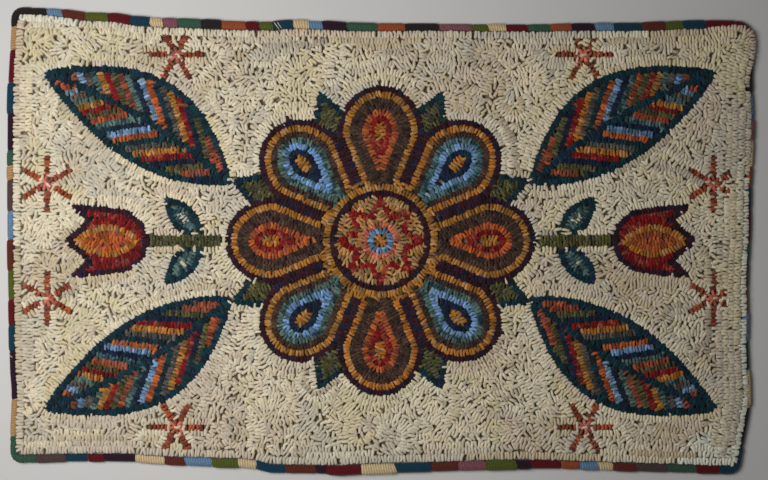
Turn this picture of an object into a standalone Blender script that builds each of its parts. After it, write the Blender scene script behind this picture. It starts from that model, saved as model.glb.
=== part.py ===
"""Hooked rug: a wool loop pile hooked through linen, its edge whipped with yarn.

Metres, +Z up. The rug lies flat with its underside on z = 0. +X runs along its length and
+Y towards its back edge. Back, front, left and right are as the rug is seen from above.
"""
import math

import bmesh
import bpy

MM = 0.001

# The pile field
PILE_HEIGHT = 8.6 * MM
RIM_HEIGHT = 5.6 * MM
SHARP_ANGLE = math.radians(50)
FIELD_STEP = 20.0 * MM
RIM_ROWS = (
    # inset of a grid line from the field's edge, share of the rise from the rim to the full pile
    (0.0 * MM, 0.00),
    (2.0 * MM, 0.62),
    (6.5 * MM, 1.00),
    (11.5 * MM, 1.00),
    (17.5 * MM, 1.00),
)
SWELLS = (
    # centre x, centre y, reach along x, reach along y, rise
    (402 * MM, 0 * MM, 9 * MM, 420 * MM, 0.7 * MM),
    (-385 * MM, 225 * MM, 60 * MM, 50 * MM, 0.8 * MM),
    (300 * MM, 170 * MM, 120 * MM, 80 * MM, -0.6 * MM),
    (-40 * MM, 60 * MM, 150 * MM, 110 * MM, 0.5 * MM),
    (-250 * MM, -120 * MM, 110 * MM, 90 * MM, -0.4 * MM),
    (180 * MM, -170 * MM, 130 * MM, 70 * MM, 0.5 * MM),
)

# The whipped edge
WHIP_WIDTH = 10.0 * MM
WHIP_HEIGHT = 7.4 * MM
WHIP_SIDES = 12
WHIP_FULLNESS = 2.6
DRAWN_STEP = 2.0 * MM
CORNER_STEP = math.radians(5)
JOIN_STEP = 1.5 * MM
GAP = 0.3 * MM

# Outer edge of the rug, each side from corner to corner
BACK_EDGE = (
    # x, y, width of the whipped edge
    (-389.2 * MM, 261.5 * MM, 8.6 * MM),
    (-356.7 * MM, 259.6 * MM, 9.4 * MM),
    (-341.0 * MM, 256.6 * MM, 9.8 * MM),
    (-294.0 * MM, 255.1 * MM, 11.0 * MM),
    (-279.0 * MM, 252.2 * MM, 11.6 * MM),
    (-201.0 * MM, 248.2 * MM, 11.4 * MM),
    (-122.6 * MM, 246.0 * MM, 11.2 * MM),
    (-99.1 * MM, 247.7 * MM, 11.0 * MM),
    (-65.5 * MM, 246.4 * MM, 10.6 * MM),
    (-27.4 * MM, 244.0 * MM, 9.8 * MM),
    (55.4 * MM, 243.6 * MM, 9.0 * MM),
    (187.6 * MM, 243.2 * MM, 9.6 * MM),
    (212.2 * MM, 244.6 * MM, 10.0 * MM),
    (291.8 * MM, 244.6 * MM, 10.2 * MM),
    (337.7 * MM, 246.8 * MM, 10.6 * MM),
    (371.3 * MM, 247.3 * MM, 10.4 * MM),
)
FRONT_EDGE = (
    # x, y, width of the whipped edge
    (-389.2 * MM, -248.1 * MM, 9.4 * MM),
    (-357.8 * MM, -246.8 * MM, 8.6 * MM),
    (-279.4 * MM, -246.8 * MM, 8.8 * MM),
    (-247.0 * MM, -249.6 * MM, 9.0 * MM),
    (-189.8 * MM, -252.2 * MM, 9.8 * MM),
    (-146.2 * MM, -254.0 * MM, 10.0 * MM),
    (-130.5 * MM, -258.7 * MM, 10.2 * MM),
    (-74.5 * MM, -259.8 * MM, 9.2 * MM),
    (-43.1 * MM, -261.4 * MM, 11.0 * MM),
    (-20.7 * MM, -259.8 * MM, 10.8 * MM),
    (57.7 * MM, -257.8 * MM, 10.6 * MM),
    (156.2 * MM, -254.7 * MM, 10.4 * MM),
    (224.6 * MM, -255.1 * MM, 8.8 * MM),
    (320.9 * MM, -258.7 * MM, 9.4 * MM),
    (369.0 * MM, -259.7 * MM, 8.6 * MM),
)
LEFT_EDGE = (
    # x, y, width of the whipped edge
    (-414.7 * MM, 232.7 * MM, 8.6 * MM),
    (-418.0 * MM, 177.9 * MM, 8.6 * MM),
    (-418.9 * MM, 142.0 * MM, 8.8 * MM),
    (-418.9 * MM, 3.1 * MM, 8.8 * MM),
    (-417.0 * MM, -97.7 * MM, 8.8 * MM),
    (-416.1 * MM, -143.6 * MM, 8.8 * MM),
    (-413.8 * MM, -177.2 * MM, 8.6 * MM),
    (-415.4 * MM, -195.1 * MM, 8.6 * MM),
    (-415.9 * MM, -219.7 * MM, 8.8 * MM),
)
RIGHT_EDGE = (
    # x, y, width of the whipped edge
    (418.8 * MM, 206.0 * MM, 8.6 * MM),
    (417.0 * MM, 177.9 * MM, 8.4 * MM),
    (418.8 * MM, 148.7 * MM, 8.6 * MM),
    (417.9 * MM, 105.1 * MM, 8.4 * MM),
    (415.4 * MM, 52.4 * MM, 8.4 * MM),
    (415.7 * MM, 17.7 * MM, 8.6 * MM),
    (412.6 * MM, -49.5 * MM, 8.4 * MM),
    (413.4 * MM, -79.7 * MM, 8.6 * MM),
    (412.4 * MM, -115.6 * MM, 8.4 * MM),
    (415.2 * MM, -180.5 * MM, 9.0 * MM),
    (410.5 * MM, -207.4 * MM, 8.8 * MM),
    (406.0 * MM, -231.0 * MM, 8.6 * MM),
)
CORNERS = {
    # x, y, radius of the rounded corner between two sides
    ("back", "right"): (418.8 * MM, 246.4 * MM, 22.0 * MM),
    ("right", "front"): (401.6 * MM, -260.0 * MM, 14.0 * MM),
    ("front", "left"): (-415.8 * MM, -248.4 * MM, 13.0 * MM),
    ("left", "back"): (-413.4 * MM, 261.6 * MM, 13.0 * MM),
}

WOOL_CREAM = (0.56, 0.50, 0.37)
WHIP_COLOURS = {
    "back": (0.05, 0.11, 0.10),
    "right": (0.45, 0.42, 0.34),
    "front": (0.20, 0.05, 0.05),
    "left": (0.03, 0.08, 0.12),
}
WOOL_ROUGHNESS = 0.95
YARN_ROUGHNESS = 0.85


def clear_scene():
    """Remove whatever the file held before."""
    for item in list(bpy.data.objects):
        bpy.data.objects.remove(item, do_unlink=True)


def new_collection(name):
    """A collection under the scene's own."""
    collection = bpy.data.collections.new(name)
    bpy.context.scene.collection.children.link(collection)
    return collection


def cloth_material(name, colour, roughness):
    """A plain woollen finish."""
    material = bpy.data.materials.new(name)
    material.use_nodes = True
    shader = material.node_tree.nodes["Principled BSDF"]
    shader.inputs["Base Color"].default_value = (*colour, 1.0)
    shader.inputs["Roughness"].default_value = roughness
    shader.inputs["Metallic"].default_value = 0.0
    return material


def blend(start, end, share):
    """A row part of the way between two rows."""
    return tuple(a + (b - a) * share for a, b in zip(start, end))


def smooth_run(rows):
    """Points every DRAWN_STEP along a smooth curve through the rows of one side."""
    first = blend(rows[1], rows[0], 2.0)
    last = blend(rows[-2], rows[-1], 2.0)
    guides = (first, *rows, last)
    points = []
    for k in range(1, len(guides) - 2):
        before, start, end, after = guides[k - 1:k + 3]
        span = math.dist(start[:2], end[:2])
        steps = max(1, round(span / DRAWN_STEP))
        out_pull = span / (math.dist(before[:2], start[:2]) + span)
        in_pull = span / (math.dist(end[:2], after[:2]) + span)
        for n in range(steps):
            t = n / steps
            point = []
            for a, b, c, d in zip(before, start, end, after):
                leave = (c - a) * out_pull
                arrive = (d - b) * in_pull
                point.append((2 * t ** 3 - 3 * t ** 2 + 1) * b + (t ** 3 - 2 * t ** 2 + t) * leave
                             + (3 * t ** 2 - 2 * t ** 3) * c + (t ** 3 - t ** 2) * arrive)
            points.append(tuple(point))
    points.append(rows[-1])
    return points


def round_corner(before, corner, after):
    """An arc that joins the ends of two sides, with the edge's width along it."""
    x, y, radius = corner
    ahead = math.atan2(after[1] - y, after[0] - x)
    behind = math.atan2(before[1] - y, before[0] - x)
    opening = (ahead - behind) % math.tau
    if opening > math.pi:
        opening = math.tau - opening
    reach = radius / math.tan(opening / 2)
    start = (x + reach * math.cos(behind), y + reach * math.sin(behind))
    end = (x + reach * math.cos(ahead), y + reach * math.sin(ahead))
    middle = ((start[0] + end[0]) / 2, (start[1] + end[1]) / 2)
    inward = math.atan2(middle[1] - y, middle[0] - x)
    hub_reach = radius / math.sin(opening / 2)
    hub = (x + hub_reach * math.cos(inward), y + hub_reach * math.sin(inward))
    first = math.atan2(start[1] - hub[1], start[0] - hub[0])
    sweep = (math.atan2(end[1] - hub[1], end[0] - hub[0]) - first) % math.tau
    if sweep > math.pi:
        sweep -= math.tau
    steps = 2 * math.ceil(abs(sweep) / CORNER_STEP / 2)
    points = []
    for n in range(steps + 1):
        angle = first + sweep * n / steps
        width = before[2] + (after[2] - before[2]) * n / steps
        points.append((hub[0] + radius * math.cos(angle), hub[1] + radius * math.sin(angle), width))
    return points


def outer_sides():
    """The outer edge, centred on the rug: four sides, split at the middle of each corner."""
    runs = {
        "back": smooth_run(BACK_EDGE),
        "right": smooth_run(RIGHT_EDGE),
        "front": smooth_run(FRONT_EDGE[::-1]),
        "left": smooth_run(LEFT_EDGE[::-1]),
    }
    around = ("back", "right", "front", "left")
    before = {}
    after = {}
    for side, next_side in zip(around, around[1:] + around[:1]):
        corner = CORNERS[(side, next_side)]
        arc = round_corner(runs[side][-1], corner, runs[next_side][0])
        half = len(arc) // 2
        after[side] = arc[:half + 1]
        before[next_side] = arc[half:]
    sides = [before[side] + runs[side] + after[side] for side in around]
    every = [point for side in sides for point in side]
    shift_x = (min(p[0] for p in every) + max(p[0] for p in every)) / 2
    shift_y = (min(p[1] for p in every) + max(p[1] for p in every)) / 2
    return [[(x - shift_x, y - shift_y, width) for x, y, width in side] for side in sides]


def run_length(points):
    """Length of a polyline seen from above."""
    return sum(math.dist(a[:2], b[:2]) for a, b in zip(points, points[1:]))


def line_shares(length):
    """Grid lines along a side: close together at its ends, then evenly spaced."""
    ends = [inset / length for inset, _ in RIM_ROWS]
    count = round((1 - 2 * ends[-1]) * length / FIELD_STEP)
    inner = [ends[-1] + (1 - 2 * ends[-1]) * n / count for n in range(1, count)]
    return ends + inner + [1 - share for share in reversed(ends)]


def evenly(points, shares):
    """Points at the given shares of a polyline's length."""
    marks = [0.0]
    for a, b in zip(points, points[1:]):
        marks.append(marks[-1] + math.dist(a[:2], b[:2]))
    placed = []
    k = 0
    for share in shares:
        mark = share * marks[-1]
        while k < len(points) - 2 and marks[k + 1] < mark:
            k += 1
        placed.append(blend(points[k], points[k + 1], (mark - marks[k]) / (marks[k + 1] - marks[k])))
    return placed


def rug_ring(sides, across, along):
    """The closed outer edge, with a point at each grid line, clockwise from the back left."""
    back, right, front, left = sides
    ring = []
    for side, shares in ((back, across), (right, along), (front, across), (left, along)):
        ring.extend(evenly(side, shares)[:-1])
    return ring


def inset_ring(ring, share, extra):
    """The ring moved inward by a share of the edge's width and a bit more."""
    moved = []
    for k, (x, y, width) in enumerate(ring):
        before = ring[k - 1]
        after = ring[(k + 1) % len(ring)]
        run_in = math.dist(before[:2], (x, y))
        run_out = math.dist(after[:2], (x, y))
        ahead = ((x - before[0]) / run_in + (after[0] - x) / run_out,
                 (y - before[1]) / run_in + (after[1] - y) / run_out)
        depth = (width * share + extra) / math.hypot(*ahead)
        moved.append((x + ahead[1] * depth, y - ahead[0] * depth, width))
    return moved


def stretch(ring, start, end):
    """The ring's points from one to another, past its last point if need be."""
    count = (end - start) % len(ring)
    return [ring[(start + n) % len(ring)] for n in range(count + 1)]


def rim_share(line, last_line):
    """How far up the pile's rounded rim a grid line lies."""
    row = min(line, last_line - line, len(RIM_ROWS) - 1)
    return RIM_ROWS[row][1]


def pile_top(x, y):
    """Height of the full pile, a little uneven as the rug lies."""
    height = PILE_HEIGHT
    for centre_x, centre_y, reach_x, reach_y, rise in SWELLS:
        away = ((x - centre_x) / reach_x) ** 2 + ((y - centre_y) / reach_y) ** 2
        height += rise * math.exp(-away)
    return height


def make_field(ring, across, along, collection):
    """The hooked field: one slab of linen and pile with a rounded rim."""
    inner = inset_ring(ring, 1.0, GAP)
    wide = len(across) - 1
    deep = len(along) - 1
    back_line = stretch(inner, 0, wide)
    right_line = stretch(inner, wide, wide + deep)
    front_line = stretch(inner, wide + deep, 2 * wide + deep)[::-1]
    left_line = stretch(inner, 2 * wide + deep, 0)[::-1]

    mesh = bmesh.new()
    bmesh.ops.create_grid(mesh, x_segments=wide, y_segments=deep, size=1.0)
    for vertex in mesh.verts:
        i = round((vertex.co.x + 1) / 2 * wide)
        j = round((1 - vertex.co.y) / 2 * deep)
        u = across[i]
        v = along[j]
        place = []
        for axis in (0, 1):
            rows = (1 - v) * back_line[i][axis] + v * front_line[i][axis]
            columns = (1 - u) * left_line[j][axis] + u * right_line[j][axis]
            ends = ((1 - u) * (1 - v) * back_line[0][axis] + u * (1 - v) * back_line[-1][axis]
                    + (1 - u) * v * front_line[0][axis] + u * v * front_line[-1][axis])
            place.append(rows + columns - ends)
        share = min(rim_share(i, wide), rim_share(j, deep))
        height = RIM_HEIGHT + (pile_top(*place) - RIM_HEIGHT) * share
        vertex.co = (*place, height)
    under = bmesh.ops.extrude_face_region(mesh, geom=mesh.faces[:])["geom"]
    for item in under:
        if isinstance(item, bmesh.types.BMVert):
            item.co.z = 0.0
    flat = [face for face in mesh.faces if all(vertex.co.z == 0.0 for vertex in face.verts)]
    bmesh.ops.dissolve_faces(mesh, faces=flat, use_verts=True)
    bmesh.ops.recalc_face_normals(mesh, faces=mesh.faces[:])

    data = bpy.data.meshes.new("hooked_field")
    mesh.to_mesh(data)
    mesh.free()
    data.shade_smooth()
    data.set_sharp_from_angle(angle=SHARP_ANGLE)
    data.materials.append(cloth_material("cream_wool", WOOL_CREAM, WOOL_ROUGHNESS))
    collection.objects.link(bpy.data.objects.new("hooked_field", data))


def whip_profile(collection):
    """Section across the whipped edge: a full oval that stands on a flat foot."""
    data = bpy.data.curves.new("whip_profile", "CURVE")
    data.dimensions = "2D"
    data.fill_mode = "NONE"
    spline = data.splines.new("POLY")
    spline.points.add(WHIP_SIDES - 1)
    spline.use_cyclic_u = True
    power = 2 / WHIP_FULLNESS
    lowest = -abs(math.sin(math.pi / 2 - math.pi / WHIP_SIDES)) ** power
    for n, point in enumerate(spline.points):
        angle = -math.pi / 2 - math.tau * (n + 0.5) / WHIP_SIDES
        across = math.copysign(abs(math.cos(angle)) ** power, math.cos(angle))
        up = math.copysign(abs(math.sin(angle)) ** power, math.sin(angle))
        point.co = (across * WHIP_WIDTH / 2, (up - lowest) / -lowest * WHIP_HEIGHT / 2, 0, 1)
    profile = bpy.data.objects.new("whip_profile", data)
    profile.hide_render = True
    profile.display_type = "WIRE"
    collection.objects.link(profile)
    return profile


def course_between(ring, start, end):
    """The ring's points between two joins, its end faces square to the ring and GAP apart."""
    points = stretch(ring, start, end)
    heads = []
    for k, way in ((start, 1), (end, -1)):
        before = ring[(k - 1) % len(ring)]
        after = ring[(k + 1) % len(ring)]
        x, y, width = ring[k % len(ring)]
        run = math.dist(before[:2], after[:2])
        ahead = (way * (after[0] - before[0]) / run, way * (after[1] - before[1]) / run)
        heads.append([(x + ahead[0] * step, y + ahead[1] * step, width) for step in (GAP / 2, JOIN_STEP)])
    first, last = heads
    return [*first, *points[1:-1], *last[::-1]]


def make_edge(name, points, colour, profile, collection):
    """One side of the whipped edge: yarn over the turned hem, along the rug's outline."""
    data = bpy.data.curves.new(name, "CURVE")
    data.dimensions = "3D"
    data.twist_mode = "Z_UP"
    data.bevel_mode = "OBJECT"
    data.bevel_object = profile
    data.use_fill_caps = True
    spline = data.splines.new("POLY")
    spline.points.add(len(points) - 1)
    for target, (x, y, width) in zip(spline.points, points):
        target.co = (x, y, 0, 1)
        target.radius = width / WHIP_WIDTH
    data.materials.append(cloth_material(name + "_yarn", colour, YARN_ROUGHNESS))
    collection.objects.link(bpy.data.objects.new(name, data))


def make_edges(ring, across, along, parts, guides):
    """The whipped edge in four runs: the long sides, and the short sides with the corners."""
    profile = whip_profile(guides)
    middle = inset_ring(ring, 0.5, 0.0)
    wide = len(across) - 1
    deep = len(along) - 1
    turn = len(RIM_ROWS) - 1
    back_left = turn
    back_right = wide - turn
    front_right = wide + deep + turn
    front_left = 2 * wide + deep - turn
    courses = {
        "back": course_between(middle, back_left, back_right),
        "right": course_between(middle, back_right, front_right),
        "front": course_between(middle, front_right, front_left),
        "left": course_between(middle, front_left, back_left),
    }
    for side, points in courses.items():
        make_edge("whipped_edge_" + side, points, WHIP_COLOURS[side], profile, parts)


def main():
    """Build the rug."""
    clear_scene()
    parts = new_collection("hooked_rug")
    guides = new_collection("guides")
    sides = outer_sides()
    back, _, _, left = sides
    across = line_shares(run_length(back))
    along = line_shares(run_length(left))
    ring = rug_ring(sides, across, along)
    make_field(ring, across, along, parts)
    make_edges(ring, across, along, parts, guides)


main()
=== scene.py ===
"""Hooked rug: wool strips hooked through linen in short winding rows, its edge whipped with yarn.

Laid out as an add-on and run as a script. Metres, +Z up. The design is planned as rows of
hooking on the flat field, each row becomes a path, and node trees hook the loops along it.
"""
import math
import random

import bmesh
import bpy
from bpy.props import FloatProperty, FloatVectorProperty, IntProperty, PointerProperty
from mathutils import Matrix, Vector, noise
from mathutils.bvhtree import BVHTree


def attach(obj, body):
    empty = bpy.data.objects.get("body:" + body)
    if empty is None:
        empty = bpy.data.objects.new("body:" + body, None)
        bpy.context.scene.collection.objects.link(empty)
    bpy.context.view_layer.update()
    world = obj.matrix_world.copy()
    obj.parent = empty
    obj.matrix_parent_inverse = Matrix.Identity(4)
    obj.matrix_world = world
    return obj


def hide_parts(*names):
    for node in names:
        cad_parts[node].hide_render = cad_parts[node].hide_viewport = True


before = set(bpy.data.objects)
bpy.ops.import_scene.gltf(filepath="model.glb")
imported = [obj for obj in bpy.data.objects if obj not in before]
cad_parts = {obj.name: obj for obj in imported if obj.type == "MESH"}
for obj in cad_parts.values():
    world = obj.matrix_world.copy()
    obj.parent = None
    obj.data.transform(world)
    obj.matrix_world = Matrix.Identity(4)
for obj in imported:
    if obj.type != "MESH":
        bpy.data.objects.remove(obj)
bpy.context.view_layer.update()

bl_info = {
    "name": "Hooked Rug",
    "version": (1, 0, 0),
    "blender": (4, 5, 0),
    "location": "View3D > Sidebar > Hooked Rug",
    "description": "Hooks a wool loop rug row by row and whips its edge with yarn",
    "category": "Add Mesh",
}

MM = 0.001
SLACK = 1e-9
UP = Vector((0.0, 0.0, 1.0))
DOWN = Vector((0.0, 0.0, -1.0))
SIDES = ("back", "right", "front", "left")
# The corner where each side starts, clockwise
CORNERS = ((-1, 1), (1, 1), (1, -1), (-1, -1))

# Loops and how unevenly they are pulled up
LOOP_PITCH = 3.5 * MM
STRIP_WIDTH = 8.2 * MM
LOOP_DEPTH = 6.0 * MM
LOWEST_TOP = 7.0 * MM
ABOVE_PILE = 9.0 * MM
FLAT = 0.01 * MM
HEIGHT_SPREAD = 0.35 * MM
SIDE_SPREAD = 0.35 * MM
TURN_SPREAD = math.radians(9)
TILT_SPREAD = math.radians(7)
SIZE_SPREAD = ((0.92, 0.90, 1.0), (1.10, 1.08, 1.0))
HAND_SEED = 3
WOOL_SEED_STEP = 17

# Rows, and the room that they keep from each other in each pass
ROW = 6.5 * MM
ROW_STEP = ROW / 3
START_ROOM = 0.97 * ROW
VEIN_ROOM = 0.9 * ROW
ROOM = 0.84 * ROW
TIGHT_ROOM = 0.76 * ROW
LEAST_ROOM = 0.63 * ROW
SQUEEZED_ROOM = 0.53 * ROW
OWN_REACH = 2.2 * ROW
FOLLOW_REACH = 1.5 * ROW
FOLLOW_CHANCE = 0.35
ROW_PUSH = 0.8
MAX_TURN = math.radians(24)
SHORTEST_ROW = 1
LONGEST_GROWN = 75 * MM
GAP_STEP = 2.4 * MM
LONE_LOOP = 0.3 * MM

# Strips of the ground, in metres and in steps of a row
STRIP_RUN = (50 * MM, 160 * MM)
SHORTEST_STRIP = 6
STRIP_BREAK = 2

# Winding of the ground
PLAN_SEED = 11
SWIRL_SIZE = 30 * MM
SWIRL_TURNS = 2.0
SWIRL_PLACE = 0.02 * PLAN_SEED
RIPPLE = 0.5
RIPPLE_SIZE = 0.4 * SWIRL_SIZE
RIPPLE_PLACE = 0.5

# How far the outermost loops hang over the whipped edge on each side, and how much further at the
# back right corner
OVERHANG = {"back": 0.2 * MM, "right": 4.4 * MM, "front": -0.4 * MM, "left": 0.3 * MM}
CORNER_OVERHANG = 5.5 * MM
CORNER_REACH = 46 * MM
BORDER_ROWS = {"back": 1, "right": 3, "front": 1, "left": 1}
SHORTEST_BORDER = 3
BORDER_SKIP = 5

# Flower in the middle of the field
PETALS = 8
PETAL_BASE = 67.5 * MM
PETAL_SHOULDER = 118 * MM
PETAL_TIP = 170 * MM
PETAL_GAP = 0.55 * ROW
PETAL_SHARE = 0.35
NARROWEST = 1.5 * MM
CURVE_STEPS = 12
RING_STEPS = 72
PETAL_ROWS = (
    ("plum", "gold", "brown_tweed", "brown_tweed", "orange", "red", "gold"),
    ("plum", "gold", "brown_tweed", "teal_grey", "light_blue", "navy", "gold"),
)
STAR_POINTS = 8
STAR_TIP = 47 * MM
STAR_NOTCH = 27 * MM
DISC_EDGE = 52.8 * MM
FLOWER_RINGS = (
    # radius, wool
    (4.9 * MM, "gold"),
    (11.6 * MM, "light_blue"),
    (18.2 * MM, "salmon"),
    (DISC_EDGE, "plum"),
    (60.0 * MM, "gold"),
)
SEPAL_START = 122 * MM
SEPAL_WIDEST = 150 * MM
SEPAL_TIP = 177 * MM
SEPAL_HALF = 14 * MM
SEPAL_HEART = (1.9 * ROW, 1.4 * ROW)

# Four large leaves
LEAF_BASE = (170 * MM, 66 * MM)
LEAF_LENGTH = 236 * MM
LEAF_HALF = 46 * MM
LEAF_TURN = math.radians(31)
LEAF_BEND = 12 * MM
LEAF_STEPS = 28
LEAF_POINT = 1.8
LEAF_SHAPE = (0.92, 0.9)
# Start of the midrib, what it falls short by, and its step, in millimetres
RIB = (8, 10, 6)
VEIN_LEAN = math.radians(40)
FIRST_VEIN = -5
VEIN_STEPS = 40
VEIN_STEP = 2 * MM
VEIN_CURVE = 0.0012
VEIN_WOOLS = ("light_blue", "rust", "olive_tweed", "navy", "red", "gold", "grey_tweed", "dark_teal",
              "orange", "light_blue", "navy", "teal_grey", "rust", "olive_tweed", "red", "gold",
              "teal_grey", "grey_tweed")

# Two buds on stems
BUD_BASE = 262 * MM
BUD_OUTLINE = (
    # along, across
    (0 * MM, 0 * MM),
    (4 * MM, 17 * MM),
    (20 * MM, 31 * MM),
    (46 * MM, 35 * MM),
    (80 * MM, 38 * MM),
    (62 * MM, 24 * MM),
    (66 * MM, 18 * MM),
    (88 * MM, 0 * MM),
)
BUD_HEART_START = 10 * MM
BUD_HEART_END = 78 * MM
BUD_HEART_HALF = 15 * MM
STEM_START = 180 * MM
STEM_TUCK = 4 * MM
STEM_LEAF_PLACE = 202 * MM
STEM_LEAF_LENGTH = 54 * MM
STEM_LEAF_HALF = 11 * MM
STEM_LEAF_TURN = math.radians(48)
STEM_LEAF_SIDE = 6 * MM

# Small asters, mirrored into the four quarters
ASTERS = (
    # x, y, turn in degrees
    (228 * MM, 208 * MM, 0),
    (372 * MM, 64 * MM, 90),
)
ASTER_RAYS = 6
ASTER_HEART = 4.9 * MM
ASTER_RAY_START = 11.0 * MM
ASTER_RAY_END = 29 * MM

# Whipped edge: yarn and length in millimetres of each run, clockwise from the back left corner
WHIP_RUNS = {
    "back": (
        ("charcoal", 31), ("light_blue", 17), ("rust_brown", 26), ("olive", 26), ("dark_red", 25),
        ("teal_blue", 22), ("cream", 15), ("mauve", 16), ("green", 27), ("charcoal", 22),
        ("orange_rust", 28), ("dark_red", 15), ("olive", 16), ("teal_blue", 22), ("cream", 17),
        ("light_blue", 16), ("plum", 27), ("green", 34), ("orange_rust", 31), ("charcoal", 38),
        ("mauve", 37), ("olive", 19), ("cream", 19), ("dark_red", 25), ("green", 25),
        ("orange_rust", 24), ("plum", 26), ("light_blue", 21), ("teal_blue", 32),
        ("rust_brown", 26), ("olive", 19), ("teal_blue", 26), ("dark_red", 43),
    ),
    "right": (
        ("plum", 36), ("charcoal", 30), ("light_blue", 29), ("mauve", 22), ("cream", 28),
        ("orange_rust", 21), ("teal_blue", 24), ("dark_red", 36), ("green", 22), ("grey_brown", 26),
        ("orange_rust", 27), ("light_blue", 30), ("teal_blue", 32), ("cream", 38), ("plum", 44),
        ("teal_blue", 19),
    ),
    "front": (
        ("dark_red", 40), ("green", 33), ("grey_brown", 35), ("rust_brown", 26), ("cream", 17),
        ("light_blue", 20), ("orange_rust", 21), ("dark_red", 35), ("plum", 16), ("olive", 34),
        ("mauve", 31), ("rust_brown", 31), ("teal_blue", 40), ("cream", 38), ("dark_red", 39),
        ("plum", 12), ("rust_brown", 34), ("teal_blue", 32), ("cream", 22), ("olive", 29),
        ("light_blue", 31), ("rust_brown", 22), ("cream", 33), ("plum", 36), ("dark_red", 18),
        ("teal_blue", 25), ("grey_brown", 34), ("green", 20),
    ),
    "left": (
        ("green", 20), ("tan", 43), ("plum", 56), ("teal_blue", 29), ("dark_red", 29),
        ("olive", 34), ("rust_brown", 35), ("light_blue", 33), ("grey_brown", 36), ("tan", 16),
        ("green", 17), ("plum", 43), ("teal_blue", 35), ("dark_red", 38), ("tan", 27),
        ("charcoal", 12),
    ),
}
WHIP_PITCH = 2.7 * MM
WHIP_RIB = 0.15
WHIP_LEAN = 1.2 * MM
WHIP_SECTION = 12
WHIP_FLATNESS = 0.74
WHIP_UNDERSIDE = -0.94
WHIP_CREASE = math.radians(75)
WHIP_FULLNESS = {"back": 1.06, "right": 1.0, "front": 1.18, "left": 1.0}
WHIP_UNEVEN = 0.07
RUN_END = 5 * MM
RUN_NARROW = 0.08
EDGE_STEP = 2.0 * MM
EDGE_GAP = 0.3 * MM
RUN_GAP = 0.05 * MM
CORNER_STEPS = 7
EDGE_REACH = 30 * MM
EDGE_LEVEL = 3.2 * MM
LEAST_EDGE = 4 * MM
USUAL_EDGE = (9 * MM, 6.6 * MM)

# Loose bits of yarn left on the edge: yarn, thickness, ends
LOOSE_YARNS = (
    ("cream", 0.9 * MM, (-118.6 * MM, 243.6 * MM), (-112.4 * MM, 235.4 * MM)),
    ("cream", 0.9 * MM, (-115.0 * MM, 243.8 * MM), (-110.2 * MM, 237.0 * MM)),
    ("cream", 0.7 * MM, (-414.8 * MM, -128.0 * MM), (-411.2 * MM, -130.4 * MM)),
    ("charcoal", 1.5 * MM, (411.2 * MM, -184.2 * MM), (412.2 * MM, -184.0 * MM)),
)
LOOSE_STEPS = 5
LOOSE_SIDES = 8
LOOSE_SINK = 0.45
LOOSE_END = 0.6

# Linen foundation
LINEN_UNDER = 0.2 * MM
LINEN_TOP = 2.0 * MM

# Colours of the wools and yarns, as eight-bit screen values
GROUND_WOOLS = {
    "cream": (217, 206, 181),
    "ecru": (208, 195, 168),
    "oatmeal": (196, 181, 153),
    "stone": (200, 190, 170),
    "butter": (210, 198, 164),
    "blush": (204, 189, 168),
    "ash": (182, 170, 150),
    # Pale wool: in patches, and as a painted highlight along the right edge
    "bleached": (222, 219, 202),
}
DESIGN_WOOLS = {
    "plum": (50, 22, 32),
    "gold": (160, 104, 40),
    "camel": (166, 128, 84),
    "brown_tweed": (82, 58, 48),
    "grey_tweed": (98, 88, 82),
    "orange": (166, 84, 40),
    "rust": (138, 70, 52),
    "dark_teal": (16, 50, 58),
    "teal_grey": (78, 104, 104),
    "light_blue": (112, 142, 180),
    "salmon": (186, 108, 90),
    "red": (120, 20, 24),
    "navy": (24, 32, 56),
    "olive_tweed": (92, 86, 50),
}
WHIP_YARNS = {
    "charcoal": (40, 35, 35),
    "light_blue": (106, 138, 170),
    "rust_brown": (98, 44, 32),
    "olive": (88, 96, 34),
    "dark_red": (98, 18, 26),
    "teal_blue": (22, 60, 80),
    "cream": (216, 190, 146),
    "mauve": (136, 84, 92),
    "green": (58, 90, 72),
    "orange_rust": (156, 78, 46),
    "plum": (46, 24, 40),
    "tan": (186, 146, 98),
    "grey_brown": (84, 66, 64),
}
TWEEDS = ("brown_tweed", "grey_tweed", "olive_tweed")
TWEED_FLECK = (0.45, 0.62, 0.60)
# The wool that shows through here and there in each
COMPANIONS = {"plum": "navy", "gold": "camel", "orange": "rust", "rust": "orange", "red": "rust",
              "light_blue": "teal_grey", "brown_tweed": "plum", "grey_tweed": "brown_tweed",
              "salmon": "rust", "navy": "dark_teal", "olive_tweed": "grey_tweed", "camel": "gold",
              "teal_grey": "dark_teal", "dark_teal": "navy"}

# How much the shade of a loop and the warmth of a strip vary
GROUND_VARIETY = (0.12, 0.035)
DESIGN_VARIETY = (0.46, 0.12)

# Where the ground is pale (the patch along the right edge is a painted highlight, where light catches the
# raised border rows), how often a strip of it is ash, and its mottling
PALE_PATCHES = (
    # x, y, reach in x and in y
    (375 * MM, -238 * MM, 60 * MM, 24 * MM),
    # Painted highlight: pale wool along the right edge, where light catches the raised border rows
    (410 * MM, -70 * MM, 12 * MM, 140 * MM),
    (-368 * MM, 250 * MM, 34 * MM, 12 * MM),
)
PATCH_EDGE = (0.6, 1.2)
ASH_CHANCE = 0.02
TONE_PATCH = (70 * MM, 3.3)
WARMTH_PATCH = (52 * MM, 8.1)
STRAY = 0.35
LIGHT_TONE = 0.14
DARK_TONE = -0.12
GOLDEN_WARMTH = 0.08
PINK_WARMTH = 0.19
COOL_WARMTH = -0.17
CREAM_SHARE = 0.4

# Grain of the cloths, in waves a metre and in detail
NOISE_ROUGHNESS = 0.6
FINE = 3
PLAIN = 1
STRAY_GRAIN = 110
TWEED_GRAIN = 500
WOOL_GRAIN = 1100
PLY_GRAIN = 420
YARN_GRAIN = 2200
LINEN_GRAIN = 220
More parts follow.
